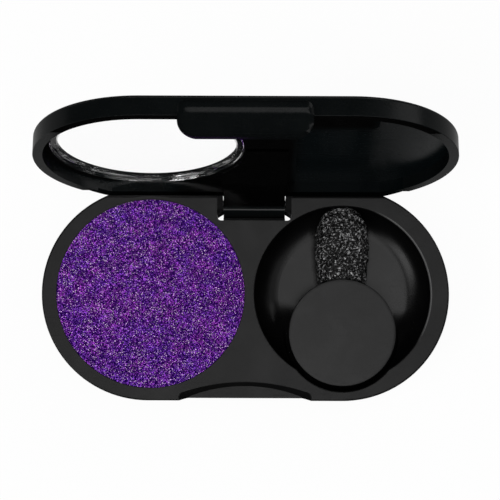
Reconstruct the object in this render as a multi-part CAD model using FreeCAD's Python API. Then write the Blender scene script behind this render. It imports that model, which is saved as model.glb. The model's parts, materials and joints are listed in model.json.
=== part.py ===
import FreeCAD, Part
import math
import os

# Single-shade eyeshadow palette with a windowed lid and a finger applicator.
# Millimetres. The origin is on the table under the middle of the base, +Z is up, -Y is the thumb side,
# +Y the hinge side, -X the powder and +X the applicator. The lid is exported open, as it rests.

os.makedirs("parts", exist_ok=True)
Vector = FreeCAD.Vector

# Powder pan and what is in its well
pan_diameter = 26.2
pan_height = 3.6
pan_sheet = 0.35              # metal thickness
pan_corner = 0.7              # outer radius where the pan's floor turns up
pan_clearance = 0.15          # pan to the well's wall
pan_below_deck = 0.25
pan_well_rounding = 0.3       # floor corner of the well
adhesive_diameter = 18.0
adhesive_thickness = 0.25
powder_clearance = 0.02       # powder to the pan's inner face
powder_edge = 0.12            # height of the powder's edge above the pan's rim
powder_crown = 0.25

# Applicator bowl
bowl_diameter = 24.7
bowl_depth = 4.5
bowl_floor_rounding = 3.4
cup_wall = 0.9                # wall of the pan well and the bowl, inside the hollow tray
mouth_rounding = 0.2          # edge of the deck round the wells

# Plan outline, shared by the base and the lid
rim_land = 1.75               # deck left outside the larger well at a round end
well_web = 1.35               # deck left between the two wells
pan_inboard = 0.3             # the pan sits this far inboard of its round end's centre
back_cut = 1.1                # depth cut off the outline to make the flat back

# Base tray and its bottom plate
base_height = 8.0
deck_thickness = 1.2
tray_wall = 1.2
side_taper = 0.8              # how far the side wall leans in at the underside
foot_rounding = 0.6
deck_edge_rounding = 0.25
back_edge_rounding = 0.45     # along the flat back, where the lid's rim swings past
bottom_thickness = 1.0
bottom_step = 0.6             # width of the step that the bottom plate rests on
bottom_clearance = 0.1

# Applicator
handle_diameter = 15.0
handle_rounding_top = 0.45
handle_rounding_bottom = 0.6
handle_above_deck = 0.15
handle_floor_gap = 0.05
seat_clearance = 0.75         # handle to the wall of its seat
seat_wall = 1.35              # wall in front of the seat
seat_floor_rounding = 0.4
tongue_width = 4.2
tongue_thickness = 1.4
tongue_in_handle = 2.0        # how far the tongue is rooted in the handle
tongue_end_gap = 3.0          # foam beyond the tongue's end
sponge_width = 7.7
sponge_thickness = 3.5
sponge_below_deck = 2.0       # depth of the sponge's middle plane
sponge_rise = 0.6             # the sponge's middle plane rises this much towards its free end
sponge_end_gap = 0.45         # sponge to the bowl's back wall
sponge_fit = 0.1              # sponge to the handle and to its tongue

# Lid
lid_gap = 0.15                # deck to the rim of the closed lid
lid_height = 2.9              # rim to the outer face
lid_top_thickness = 1.1
lid_rim = 1.32                # width of the rim
lid_top_rounding = 0.5
lid_rim_rounding = 0.05
lid_relief = 0.35             # the rim stands back this far at the ends of its hinge side
lid_relief_back = 0.03        # and this far along the flat back
lid_relief_from_back = 2.3
open_angle = 105.3            # degrees from closed to the stop

# Window
window_cover = 0.85           # the pan's radius less the window's
window_lip = 0.9              # width of the ledge that holds the lens
window_thickness = 0.7
window_clearance = 0.05
window_bevel = 0.15           # round both faces of the lens

# Hinge
hinge_x = 1.2                 # the hinge stands off centre, between the two wells
hinge_from_back = 1.2         # pin axis to the flat back
hinge_below_deck = 1.5
pin_diameter = 1.0
pin_end_chamfer = 0.12
pin_end_gap = 0.1             # the pin's ends stay inside its block
pin_fit = 0.02                # in the tray
pin_running_fit = 0.06        # in the lid's leaf
leaf_width = 8.67
leaf_front = 1.1              # pin axis to the leaf's front face
leaf_toe = 1.37               # pin axis to the front corner of the leaf's heel
leaf_toe_rounding = 0.4
leaf_side_clearance = 0.1
knuckle_radius = 1.45         # round boss about each end of the pin
knuckle_length = 0.8          # how far it stands out from the notch's side
knuckle_slope = 0.5           # its front slopes back this much towards its tip
foot_drop = 2.7               # pin axis to the foot under each knuckle
foot_width = 0.5              # how far that foot reaches in under the leaf
notch_reach = 2.4             # pin axis to the notch's front wall
notch_corner = 0.6
notch_wall = 1.4
rib_depth = 0.33              # stop rib on the notch's front wall, as wide as the leaf
rib_below_deck = 0.35
stop_gap = 0.06               # heel of the leaf to the stop rib when open

# Stiffening pad on the lid's inner face, in front of the hinge
pad_width = 9.2
pad_length = 11.2             # from the leaf's front face
pad_height = 0.4
pad_step_length = 2.7
pad_step_height = 0.85        # its front face slopes at 45 degrees
pad_window_gap = 0.25

# Thumb tab and its recess
tab_width = 17.3
tab_above = 2.2               # above the closed parting plane
tab_below = 2.8               # below it
tab_proud = 1.15              # in front of the outline
tab_top_radius = 2.2          # front face over to the lid's top
tab_end_radius = 1.05         # front face round to each end
tab_depth = 0.7               # behind the outline
tab_corner_low = 2.4
tab_corner_high = 1.2
tab_clearance = 0.35          # tab to the recess
recess_side = 0.7             # deck recess wider than the tab at each end
recess_depth = 2.7            # at the middle of its arch
recess_end_depth = 1.1        # at the arch's two ends
recess_corner = 0.8
recess_floor_gap = 0.2        # tab to the recess's ledge
recess_end_slope = 1.15       # the recess narrows this much at each end, down to the ledge
recess_back_slope = 0.7
recess_wall = 1.2

# Worked out from the sizes above
pan_radius = pan_diameter / 2
pan_well_radius = pan_radius + pan_clearance
pan_well_depth = pan_below_deck + pan_height + adhesive_thickness
bowl_radius = bowl_diameter / 2
end_radius = max(pan_well_radius, bowl_radius) + rim_land
end_spacing = pan_well_radius + well_web + bowl_radius + pan_inboard
half_spacing = end_spacing / 2
pan_x = pan_inboard - half_spacing
bowl_x = half_spacing
back_flat = end_radius - back_cut
cavity_inset = side_taper + tray_wall + bottom_step
handle_radius = handle_diameter / 2
seat_radius = handle_radius + seat_clearance
handle_y = seat_wall + seat_radius - end_radius
sponge_z = base_height - sponge_below_deck
hinge_y = back_flat - hinge_from_back
hinge_z = base_height - hinge_below_deck
notch_y = hinge_y - notch_reach
notch_half = leaf_width / 2 + leaf_side_clearance + knuckle_length
block_half = notch_half + notch_wall
rim_z = base_height + lid_gap
lid_top_z = rim_z + lid_height
lid_floor_z = lid_top_z - lid_top_thickness
window_radius = pan_radius - window_cover
open_radians = math.radians(open_angle)
stop_reach = notch_reach - rib_depth
leaf_heel = (stop_reach - stop_gap + hinge_from_back * math.cos(open_radians)) / math.sin(open_radians)
recess_half = tab_width / 2 + recess_side
recess_drop = tab_below + recess_floor_gap
past = 1.0                    # how far a cut runs past the face it opens


def plan_wire(inset, z):
    """Outline of the palette, drawn in by inset: round ends, straight front, flat back."""
    radius = end_radius - inset
    back = back_flat - inset
    corner = half_spacing + math.sqrt(radius ** 2 - back ** 2)
    front_left = Vector(-half_spacing, -radius, z)
    front_right = Vector(half_spacing, -radius, z)
    right = Vector(half_spacing + radius, 0, z)
    back_right = Vector(corner, back, z)
    back_left = Vector(-corner, back, z)
    left = Vector(-half_spacing - radius, 0, z)
    return Part.Wire([
        Part.LineSegment(front_left, front_right).toShape(),
        Part.Arc(front_right, right, back_right).toShape(),
        Part.LineSegment(back_right, back_left).toShape(),
        Part.Arc(back_left, left, front_left).toShape(),
    ])


def plan_prism(inset, low, high):
    return Part.Face(plan_wire(inset, low)).extrude(Vector(0, 0, high - low))


def box(low, high):
    size = high - low
    return Part.makeBox(size.x, size.y, size.z, low)


def edges_at_height(shape, z):
    return [e for e in shape.Edges if abs(e.BoundBox.ZMin - z) < 1e-4 and abs(e.BoundBox.ZMax - z) < 1e-4]


def turned(outline, x, y):
    """Solid of revolution about the vertical line through (x, y).

    The outline is a list of (radius, height) corners. An item with three pairs is an arc that
    starts at the corner before it: its middle point, then its end.
    """
    edges = []
    here = Vector(outline[0][0], 0, outline[0][1])
    for item in outline[1:]:
        points = [Vector(r, 0, z) for r, z in (item if isinstance(item[0], tuple) else [item])]
        if len(points) == 2:
            edges.append(Part.Arc(here, points[0], points[1]).toShape())
        else:
            edges.append(Part.LineSegment(here, points[0]).toShape())
        here = points[-1]
    edges.append(Part.LineSegment(here, Vector(outline[0][0], 0, outline[0][1])).toShape())
    solid = Part.Face(Part.Wire(edges)).revolve(Vector(0, 0, 0), Vector(0, 0, 1), 360)
    solid.translate(Vector(x, y, 0))
    return solid


def bulge_radius(half_chord, rise):
    """Radius of an arc that rises this much over a chord."""
    return (half_chord ** 2 + rise ** 2) / (2 * rise)


def quarter(centre_r, centre_z, radius, start, end):
    """Middle and end of a quarter arc, for turned(); start and end are angles in degrees."""
    def at(angle):
        turn = math.radians(angle)
        return (centre_r + radius * math.cos(turn), centre_z + radius * math.sin(turn))
    return (at((start + end) / 2), at(end))


def well(radius, depth, rounding, x, y):
    """Space of a round well sunk into the deck, with a rounded mouth and a rounded floor corner."""
    deck = base_height
    floor = deck - depth
    mouth = radius + mouth_rounding
    return turned([
        (0, deck + past),
        (mouth, deck + past),
        (mouth, deck),
        quarter(mouth, deck - mouth_rounding, mouth_rounding, 90, 180),
        (radius, floor + rounding),
        quarter(radius - rounding, floor + rounding, rounding, 0, -90),
        (0, floor),
    ], x, y)


def cup(radius, depth, rounding, x, y):
    """Outside of the cup that a well hangs in, one cup wall larger than the well."""
    floor = base_height - depth - cup_wall
    outer = radius + cup_wall
    corner = rounding + cup_wall
    return turned([
        (0, base_height),
        (outer, base_height),
        (outer, floor + corner),
        quarter(outer - corner, floor + corner, corner, 0, -90),
        (0, floor),
    ], x, y)


def recess_wire(half, depth, corner, z):
    """Outline of the thumb recess, open past the front: straight ends, rounded corners and a flat arch."""
    front = -end_radius - tab_proud - past
    arch = bulge_radius(half, recess_depth - recess_end_depth)
    arch_y = depth - end_radius - arch
    corner_x = half - corner
    corner_y = arch_y + math.sqrt((arch - corner) ** 2 - corner_x ** 2)
    lean = math.atan2(corner_y - arch_y, corner_x)

    def corner_arc(side):
        """End wall's upper end, middle of the corner, and where it runs into the arch."""
        wall = Vector(side * half, corner_y, z)
        middle_x = corner_x + corner * math.cos(lean / 2)
        middle = Vector(side * middle_x, corner_y + corner * math.sin(lean / 2), z)
        on_arch = Vector(side * arch * math.cos(lean), arch_y + arch * math.sin(lean), z)
        return wall, middle, on_arch

    left_wall, left_middle, left_arch = corner_arc(-1)
    right_wall, right_middle, right_arch = corner_arc(1)
    front_left = Vector(-half, front, z)
    front_right = Vector(half, front, z)
    return Part.Wire([
        Part.LineSegment(front_left, left_wall).toShape(),
        Part.Arc(left_wall, left_middle, left_arch).toShape(),
        Part.Arc(left_arch, Vector(0, depth - end_radius, z), right_arch).toShape(),
        Part.Arc(right_arch, right_middle, right_wall).toShape(),
        Part.LineSegment(right_wall, front_right).toShape(),
        Part.LineSegment(front_right, front_left).toShape(),
    ])


def recess_space(grow, drop):
    """Thumb recess from the deck down, each wall moved outwards by grow."""
    deck = base_height
    half = recess_half + grow
    depth = recess_depth + grow
    corner = recess_corner + grow
    top = recess_wire(half, depth, corner, deck)
    ledge = recess_wire(half - recess_end_slope, depth - recess_back_slope, corner, deck - drop)
    slope = Part.makeLoft([top, ledge], True, True)
    return slope.fuse(Part.Face(top).extrude(Vector(0, 0, past)))


def notch_space():
    """Hinge notch: open through the base, less a knuckle and its foot at each side and the stop rib."""
    back = end_radius + past
    bottom = -2 * past
    wide = box(Vector(hinge_x - notch_half, notch_y, -past),
               Vector(hinge_x + notch_half, back, base_height + past))
    front_corners = [e for e in wide.Edges
                     if abs(e.BoundBox.YMin - notch_y) < 1e-6 and abs(e.BoundBox.YMax - notch_y) < 1e-6
                     and e.BoundBox.ZLength > base_height]
    wide = wide.makeFillet(notch_corner, front_corners)
    rib = box(Vector(hinge_x - leaf_width / 2, notch_y - past, bottom),
              Vector(hinge_x + leaf_width / 2, hinge_y - stop_reach, base_height - rib_below_deck))
    standing = [rib]
    for side in (-1, 1):
        wall_x = hinge_x + side * notch_half
        tip_x = wall_x - side * knuckle_length
        foot_x = tip_x - side * foot_width
        front = hinge_y - knuckle_radius
        corners = [
            Vector(wall_x + side * past, front, bottom),
            Vector(wall_x, front, bottom),
            Vector(tip_x, front + knuckle_slope, bottom),
            Vector(tip_x, back + past, bottom),
            Vector(wall_x + side * past, back + past, bottom),
        ]
        stem = Part.Face(Part.makePolygon(corners + corners[:1]))
        stem = stem.extrude(Vector(0, 0, base_height - bottom))
        knuckle = pin_bar(knuckle_radius, notch_half + past)
        below = box(Vector(-end_spacing, front, bottom), Vector(end_spacing, back + past, hinge_z))
        standing.append(stem.common(knuckle.fuse(below)))
        standing.append(box(Vector(min(wall_x, foot_x), front + knuckle_slope, bottom),
                            Vector(max(wall_x, foot_x), back + past, hinge_z - foot_drop)))
    return wide.cut(standing)


def pin_bar(radius, half_length):
    return Part.makeCylinder(radius, 2 * half_length, Vector(hinge_x - half_length, hinge_y, hinge_z),
                             Vector(1, 0, 0))


def back_edge_strip():
    """What the rounding along the deck's back edge takes off."""
    lean = math.atan2(side_taper, base_height)
    centre_y = back_flat - back_edge_rounding * (1 + math.sin(lean)) / math.cos(lean)
    centre_z = base_height - back_edge_rounding
    left = -half_spacing - end_radius

    def at(angle):
        return Vector(left, centre_y + back_edge_rounding * math.cos(angle),
                      centre_z + back_edge_rounding * math.sin(angle))

    on_deck = at(math.pi / 2)
    on_wall = at(-lean)
    outside = Part.makePolygon([
        on_wall,
        Vector(left, back_flat + past, on_wall.z),
        Vector(left, back_flat + past, base_height + past),
        Vector(left, centre_y, base_height + past),
        on_deck,
    ])
    rounding = Part.Arc(on_deck, at(math.pi / 4 - lean / 2), on_wall).toShape()
    return Part.Face(Part.Wire([rounding] + outside.Edges)).extrude(Vector(-2 * left, 0, 0))


def make_base_tray():
    tray = Part.makeLoft([plan_wire(side_taper, 0), plan_wire(0, base_height)], True, True)
    tray = tray.makeFillet(foot_rounding, edges_at_height(tray, 0))
    tray = tray.makeFillet(deck_edge_rounding, edges_at_height(tray, base_height))
    pan_cup = cup(pan_well_radius, pan_well_depth, pan_well_rounding, pan_x, 0)
    bowl_cup = cup(bowl_radius, bowl_depth, bowl_floor_rounding, bowl_x, 0)
    seat_cup = cup(seat_radius, bowl_depth, seat_floor_rounding, bowl_x, handle_y)
    hinge_block = box(Vector(hinge_x - block_half, notch_y - notch_wall, -past),
                      Vector(hinge_x + block_half, end_radius, base_height))
    recess_block = recess_space(recess_wall, recess_drop + recess_wall)
    hollow = plan_prism(cavity_inset, -past, base_height - deck_thickness)
    plate_step = plan_prism(cavity_inset - bottom_step, -past, bottom_thickness)
    hollow = hollow.fuse(plate_step).cut([pan_cup, bowl_cup, seat_cup, hinge_block, recess_block])
    return tray.cut(back_edge_strip()).cut([
        hollow,
        well(pan_well_radius, pan_well_depth, pan_well_rounding, pan_x, 0),
        well(bowl_radius, bowl_depth, bowl_floor_rounding, bowl_x, 0),
        well(seat_radius, bowl_depth, seat_floor_rounding, bowl_x, handle_y),
        recess_space(0.0, recess_drop),
        notch_space(),
        pin_bar(pin_diameter / 2 + pin_fit, block_half + past),
    ])


def make_base_bottom():
    plate = plan_prism(cavity_inset - bottom_step + bottom_clearance, 0, bottom_thickness)
    reach = block_half + bottom_clearance
    hinge_slot = box(Vector(hinge_x - reach, notch_y - notch_wall - bottom_clearance, -past),
                     Vector(hinge_x + reach, end_radius, bottom_thickness + past))
    return plate.cut(hinge_slot)


def make_powder_pan():
    floor = base_height - pan_well_depth + adhesive_thickness
    rim = floor + pan_height
    inner = pan_radius - pan_sheet
    inner_corner = pan_corner - pan_sheet
    return turned([
        (0, floor),
        (pan_radius - pan_corner, floor),
        quarter(pan_radius - pan_corner, floor + pan_corner, pan_corner, -90, 0),
        (pan_radius, rim),
        (inner, rim),
        (inner, floor + pan_corner),
        quarter(inner - inner_corner, floor + pan_corner, inner_corner, 0, -90),
        (0, floor + pan_sheet),
    ], pan_x, 0)


def make_pan_adhesive():
    floor = base_height - pan_well_depth
    return Part.makeCylinder(adhesive_diameter / 2, adhesive_thickness, Vector(pan_x, 0, floor))


def make_pressed_powder():
    rim = base_height - pan_below_deck
    floor = rim - pan_height + pan_sheet
    inner = pan_radius - pan_sheet - powder_clearance
    corner = pan_corner - pan_sheet
    edge_z = rim + powder_edge
    crown_radius = bulge_radius(pan_radius, powder_crown)
    half_way = pan_radius / 2
    half_way_z = edge_z + powder_crown - crown_radius + math.sqrt(crown_radius ** 2 - half_way ** 2)
    return turned([
        (0, floor),
        (inner - corner, floor),
        quarter(inner - corner, floor + corner, corner, -90, 0),
        (inner, rim),
        (pan_radius, rim),
        (pan_radius, edge_z),
        ((half_way, half_way_z), (0, edge_z + powder_crown)),
    ], pan_x, 0)


def make_hinge_pin():
    half = block_half - pin_end_gap
    pin = pin_bar(pin_diameter / 2, half)
    return pin.makeChamfer(pin_end_chamfer, [e for e in pin.Edges if e.BoundBox.XLength < 1e-4])


def tongue_blade(grow):
    """Flat tongue that stands out of the handle into the foam, its free end round in plan."""
    half = tongue_width / 2 + grow
    start = handle_y + handle_radius - tongue_in_handle
    end = bowl_radius - sponge_end_gap - tongue_end_gap + grow
    low = sponge_z - tongue_thickness / 2 - grow
    left = Vector(bowl_x - half, end - half, low)
    right = Vector(bowl_x + half, end - half, low)
    outline = Part.Wire([
        Part.LineSegment(Vector(bowl_x - half, start, low), Vector(bowl_x + half, start, low)).toShape(),
        Part.LineSegment(Vector(bowl_x + half, start, low), right).toShape(),
        Part.Arc(right, Vector(bowl_x, end, low), left).toShape(),
        Part.LineSegment(left, Vector(bowl_x - half, start, low)).toShape(),
    ])
    return Part.Face(outline).extrude(Vector(0, 0, tongue_thickness + 2 * grow))


def make_applicator_handle():
    low = base_height - bowl_depth + handle_floor_gap
    high = base_height + handle_above_deck
    top = handle_rounding_top
    bottom = handle_rounding_bottom
    grip = turned([
        (0, low),
        (handle_radius - bottom, low),
        quarter(handle_radius - bottom, low + bottom, bottom, -90, 0),
        (handle_radius, high - top),
        quarter(handle_radius - top, high - top, top, 0, 90),
        (0, high),
    ], bowl_x, handle_y)
    return grip.fuse(tongue_blade(0.0)).removeSplitter()


def sponge_section(y, z, half_width, half_height):
    """Full oval across the sponge, of four arcs, fuller than an ellipse."""
    fullness = 0.75

    def at(right, up):
        return Vector(bowl_x + right * half_width, y, z + up * half_height)

    ends = [(1, 0), (0, 1), (-1, 0), (0, -1), (1, 0)]
    arcs = []
    for (x0, z0), (x1, z1) in zip(ends, ends[1:]):
        middle = at((x0 + x1) * fullness, (z0 + z1) * fullness)
        arcs.append(Part.Arc(at(x0, z0), middle, at(x1, z1)).toShape())
    return Part.Wire(arcs)


def make_sponge_tip():
    root = handle_y + handle_radius - tongue_in_handle
    end = bowl_radius - sponge_end_gap
    length = end - root
    # Share of the length, of the full width and of the full thickness at each section
    form = [(0.0, 0.88, 0.9), (0.25, 0.94, 0.97), (0.52, 1.0, 1.0), (0.76, 0.93, 0.92),
            (0.91, 0.72, 0.68), (1.0, 0.36, 0.3)]
    sections = []
    for share, wide, thick in form:
        middle = sponge_z + sponge_rise * share ** 2
        sections.append(sponge_section(root + share * length, middle,
                                       sponge_width / 2 * wide, sponge_thickness / 2 * thick))
    foam = Part.makeLoft(sections, True, False)
    grip = Part.makeCylinder(handle_radius + sponge_fit, 2 * base_height, Vector(bowl_x, handle_y, 0))
    return foam.cut([grip, tongue_blade(sponge_fit)])


def opened(shape):
    """Turn a closed lid piece back about the pin to its stop."""
    moved = shape.copy()
    moved.rotate(Vector(hinge_x, hinge_y, hinge_z), Vector(1, 0, 0), -open_angle)
    return moved


def make_leaf():
    """Hinge leaf, flush with the back, down to a slanted heel that stops on the notch's rib."""
    side = hinge_x - leaf_width / 2
    toe = Vector(side, hinge_y - leaf_front, hinge_z - leaf_toe)
    corners = [
        Vector(side, back_flat, lid_floor_z),
        Vector(side, hinge_y - leaf_front, lid_floor_z),
        toe,
        Vector(side, back_flat, hinge_z - leaf_heel),
    ]
    leaf = Part.Face(Part.makePolygon(corners + corners[:1])).extrude(Vector(leaf_width, 0, 0))
    toe_edge = [e for e in leaf.Edges if e.BoundBox.YMax < toe.y + 1e-6 and e.BoundBox.ZMax < toe.z + 1e-6]
    return leaf.makeFillet(leaf_toe_rounding, toe_edge)


def make_pad():
    """Raised pad on the lid's inner face, thicker in a step next to the leaf."""
    leaf_y = hinge_y - leaf_front
    half = pad_width / 2
    low_pad = box(Vector(hinge_x - half, leaf_y - pad_length, lid_floor_z - pad_height),
                  Vector(hinge_x + half, back_flat - lid_rim, lid_floor_z))
    step_y = leaf_y - pad_step_length
    step = box(Vector(hinge_x - half, step_y, lid_floor_z - pad_step_height),
               Vector(hinge_x + half, back_flat - lid_rim, lid_floor_z))
    step_edge = [e for e in edges_at_height(step, lid_floor_z - pad_step_height)
                 if e.BoundBox.YMax < step_y + 1e-6]
    step = step.makeChamfer(pad_step_height - pad_height, step_edge)
    clear = Part.makeCylinder(window_radius + window_lip + pad_window_gap, lid_height,
                              Vector(pan_x, 0, rim_z))
    return low_pad.fuse(step).removeSplitter().cut(clear)


def tab_outline():
    """Space in front of the lid within the tab's outline, with its four corners rounded."""
    half = tab_width / 2
    front = -end_radius - tab_proud
    bar = box(Vector(-half, front - past, base_height - tab_below),
              Vector(half, tab_depth - end_radius + past, base_height + tab_above))
    for z, radius in ((base_height - tab_below, tab_corner_low), (base_height + tab_above, tab_corner_high)):
        bar = bar.makeFillet(radius, [e for e in edges_at_height(bar, z) if e.BoundBox.XLength < 1e-6])
    return bar


def make_tab():
    """Thumb tab: flat front that rolls over at its top and ends, trimmed to clear the recess when closed."""
    half = tab_width / 2
    low = base_height - tab_below - past
    front = -end_radius - tab_proud
    back = tab_depth - end_radius
    roll = tab_top_radius

    def on_roll(y):
        """Point of the rolled-over top, which meets the lid's outline at tab_above."""
        def rise(depth):
            return math.sqrt(roll ** 2 - (roll - depth) ** 2)
        return Vector(-half, y, base_height + tab_above - rise(tab_proud) + rise(y - front))

    profile = Part.Wire([
        Part.LineSegment(Vector(-half, back, low), Vector(-half, front, low)).toShape(),
        Part.LineSegment(Vector(-half, front, low), on_roll(front)).toShape(),
        Part.Arc(on_roll(front), on_roll(front + tab_proud / 2), on_roll(back)).toShape(),
        Part.LineSegment(on_roll(back), Vector(-half, back, low)).toShape(),
    ])
    bar = Part.Face(profile).extrude(Vector(tab_width, 0, 0))
    ends = [e for e in bar.Edges
            if e.BoundBox.XLength < 1e-6 and e.BoundBox.ZLength > 1e-6 and e.BoundBox.YMin < front + 1e-6]
    bar = bar.makeFillet(tab_end_radius, ends).common(tab_outline())
    body = plan_prism(-tab_clearance, base_height - 2 * tab_below, rim_z)
    return bar.cut(body.cut(recess_space(-tab_clearance, recess_drop)))


def make_lid_shell():
    lid = plan_prism(0, rim_z, lid_top_z)
    lid = lid.makeFillet(lid_top_rounding, edges_at_height(lid, lid_top_z))
    lid = lid.makeFillet(lid_rim_rounding, edges_at_height(lid, rim_z))
    lid = lid.cut(plan_prism(lid_rim, rim_z - past, lid_floor_z))
    relief_x = -half_spacing - end_radius
    relief_front = back_flat - lid_relief_from_back
    corners = [
        Vector(relief_x, relief_front, rim_z - past),
        Vector(relief_x, relief_front, rim_z + lid_relief),
        Vector(relief_x, back_flat, rim_z + lid_relief_back),
        Vector(relief_x, end_radius + past, rim_z + lid_relief_back),
        Vector(relief_x, end_radius + past, rim_z - past),
    ]
    relief = Part.Face(Part.makePolygon(corners + corners[:1])).extrude(Vector(-2 * relief_x, 0, 0))
    lid = lid.cut(relief).fuse([make_pad(), make_leaf(), make_tab()])
    lip = Part.makeCylinder(window_radius, lid_height + past, Vector(pan_x, 0, rim_z))
    ledge = Part.makeCylinder(window_radius + window_lip, window_thickness, Vector(pan_x, 0, lid_floor_z))
    bore = pin_bar(pin_diameter / 2 + pin_running_fit, leaf_width)
    return opened(lid.cut([lip, ledge, bore]).removeSplitter())


def make_lid_window():
    """Clear lens that lies on the ledge round the window, flush with the lid's inner face."""
    bevel = window_bevel
    inner = lid_floor_z
    outer = lid_floor_z + window_thickness
    edge = window_radius + window_lip - window_clearance
    return opened(turned([
        (0, inner),
        (edge - bevel, inner),
        (edge, inner + bevel),
        (edge, outer - bevel),
        (edge - bevel, outer),
        (0, outer),
    ], pan_x, 0))


pieces = {
    "base_tray": make_base_tray,
    "base_bottom": make_base_bottom,
    "powder_pan": make_powder_pan,
    "pan_adhesive": make_pan_adhesive,
    "pressed_powder": make_pressed_powder,
    "hinge_pin": make_hinge_pin,
    "applicator_handle": make_applicator_handle,
    "sponge_tip": make_sponge_tip,
    "lid_shell": make_lid_shell,
    "lid_window": make_lid_window,
}

for name, make in pieces.items():
    shape = make()
    print(f"{name}: {len(shape.Solids)} solid, valid {shape.isValid()}, {shape.Volume:.1f} mm3")
    shape.exportStep(f"parts/{name}.step")
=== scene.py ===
import json
import math

import bpy
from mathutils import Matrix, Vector

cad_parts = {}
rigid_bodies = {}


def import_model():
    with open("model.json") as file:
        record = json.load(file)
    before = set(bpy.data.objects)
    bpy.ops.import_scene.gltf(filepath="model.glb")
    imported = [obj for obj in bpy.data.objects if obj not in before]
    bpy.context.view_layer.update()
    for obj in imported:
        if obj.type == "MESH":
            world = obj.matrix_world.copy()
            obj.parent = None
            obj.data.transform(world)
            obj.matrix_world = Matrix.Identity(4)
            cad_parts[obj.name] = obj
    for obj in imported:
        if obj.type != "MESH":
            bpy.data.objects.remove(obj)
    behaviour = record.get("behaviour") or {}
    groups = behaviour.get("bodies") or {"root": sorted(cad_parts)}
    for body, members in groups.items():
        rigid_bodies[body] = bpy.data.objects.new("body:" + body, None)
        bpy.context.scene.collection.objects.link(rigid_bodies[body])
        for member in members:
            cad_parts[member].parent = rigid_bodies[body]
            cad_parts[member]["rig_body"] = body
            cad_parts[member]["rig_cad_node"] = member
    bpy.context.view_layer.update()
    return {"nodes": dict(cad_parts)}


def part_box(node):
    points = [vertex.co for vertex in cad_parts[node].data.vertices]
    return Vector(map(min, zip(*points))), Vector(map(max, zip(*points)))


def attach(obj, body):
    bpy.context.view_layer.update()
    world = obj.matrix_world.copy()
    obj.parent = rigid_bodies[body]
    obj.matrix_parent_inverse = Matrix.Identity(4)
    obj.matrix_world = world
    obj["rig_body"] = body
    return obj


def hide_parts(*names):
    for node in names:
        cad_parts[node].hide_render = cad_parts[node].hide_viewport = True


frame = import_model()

# Single-shade eyeshadow palette, dressed round its CAD pieces. Metres, in the CAD's own frame:
# the powder is at -X, the applicator at +X, the thumb side at -Y and the open lid at +Y.
MM = 0.001

# Camera, looking almost straight down from just in front of the middle
CAMERA_PLACE = Vector((0.67, -7.49, 235.36)) * MM
CAMERA_TILT = math.radians(3.43)
CAMERA_ROLL = math.radians(0.21)
CAMERA_LENS = 116.7
SENSOR_WIDTH = 36.0
CLIP_START = 5 * MM

# Soft boxes, each aimed at the origin: place, width, height and strength
SOFT_BOXES = {
    "overhead": (Vector((0.01, -0.05, 0.42)), 0.22, 0.36, 3.5),
    "left_front": (Vector((-0.28, -0.15, 0.36)), 0.22, 0.26, 5.0),
    "right": (Vector((0.26, -0.04, 0.38)), 0.16, 0.22, 0.8),
    "back_strip": (Vector((0.10, 0.46, 0.25)), 0.44, 0.17, 2.2),
    "right_back": (Vector((0.375, 0.20, 0.25)), 0.20, 0.40, 1.8),
}
ROOM_LIGHT = 0.08
FLOOR_SIZE = 6.0
FLOOR_TONE = 0.85
FLOOR_GLOW = 0.95             # how much of the table the camera sees as plain white
FLOOR_IN_GLOSS = 0.38         # how pale the table looks in polished faces
WHITE = (1, 1, 1, 1)


def middle(box):
    """Middle of a box that is given by its two corners."""
    low, high = box
    return (low + high) / 2


# Node building

def knot(tree, kind, inputs=None, **settings):
    """New shader node; an input that is given a socket is linked to it, any other is set."""
    node = tree.nodes.new(kind)
    for key, value in settings.items():
        setattr(node, key, value)
    for key, value in (inputs or {}).items():
        if isinstance(value, bpy.types.NodeSocket):
            tree.links.new(value, node.inputs[key])
        else:
            node.inputs[key].default_value = value
    return node


def new_group(name, inputs, outputs):
    """Empty shader node group with float inputs and outputs."""
    tree = bpy.data.node_groups.new(name, "ShaderNodeTree")
    for label, value in inputs.items():
        socket = tree.interface.new_socket(label, in_out="INPUT", socket_type="NodeSocketFloat")
        socket.default_value = value
    for label in outputs:
        tree.interface.new_socket(label, in_out="OUTPUT", socket_type="NodeSocketFloat")
    return tree, knot(tree, "NodeGroupInput").outputs, knot(tree, "NodeGroupOutput").inputs


def place_group(tree, group, **inputs):
    """Group placed in a material; its inputs' names are written with underscores."""
    named = {key.replace("_", " "): value for key, value in inputs.items()}
    return knot(tree, "ShaderNodeGroup", named, node_tree=group).outputs


def object_place(tree):
    return knot(tree, "ShaderNodeTexCoord").outputs["Object"]


def axes_of(tree, place):
    return knot(tree, "ShaderNodeSeparateXYZ", {0: place}).outputs


def face_normal(tree):
    return knot(tree, "ShaderNodeNewGeometry").outputs["Normal"]


def remap(tree, value, low, high, to_low=0.0, to_high=1.0):
    """Value carried from one range to another, and held at that range's ends."""
    return knot(tree, "ShaderNodeMapRange", {"Value": value, "From Min": low, "From Max": high,
                                             "To Min": to_low, "To Max": to_high}).outputs["Result"]


def calc(tree, operation, a, b=0.0):
    return knot(tree, "ShaderNodeMath", {0: a, 1: b}, operation=operation).outputs[0]


def near(tree, value, target, within):
    """Mask of where a value lies near a target."""
    return knot(tree, "ShaderNodeMath", {0: value, 1: target, 2: within}, operation="COMPARE").outputs[0]


def below(tree, value, limit):
    return calc(tree, "LESS_THAN", value, limit)


def above(tree, value, limit):
    return calc(tree, "GREATER_THAN", value, limit)


def product(tree, *values):
    """Values multiplied together; of masks, where all of them hold."""
    result = values[0]
    for value in values[1:]:
        result = calc(tree, "MULTIPLY", result, value)
    return result


def either(tree, first, second):
    return calc(tree, "MAXIMUM", first, second)


def outside(tree, mask):
    """What a mask leaves out."""
    return calc(tree, "SUBTRACT", 1.0, mask)


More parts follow.
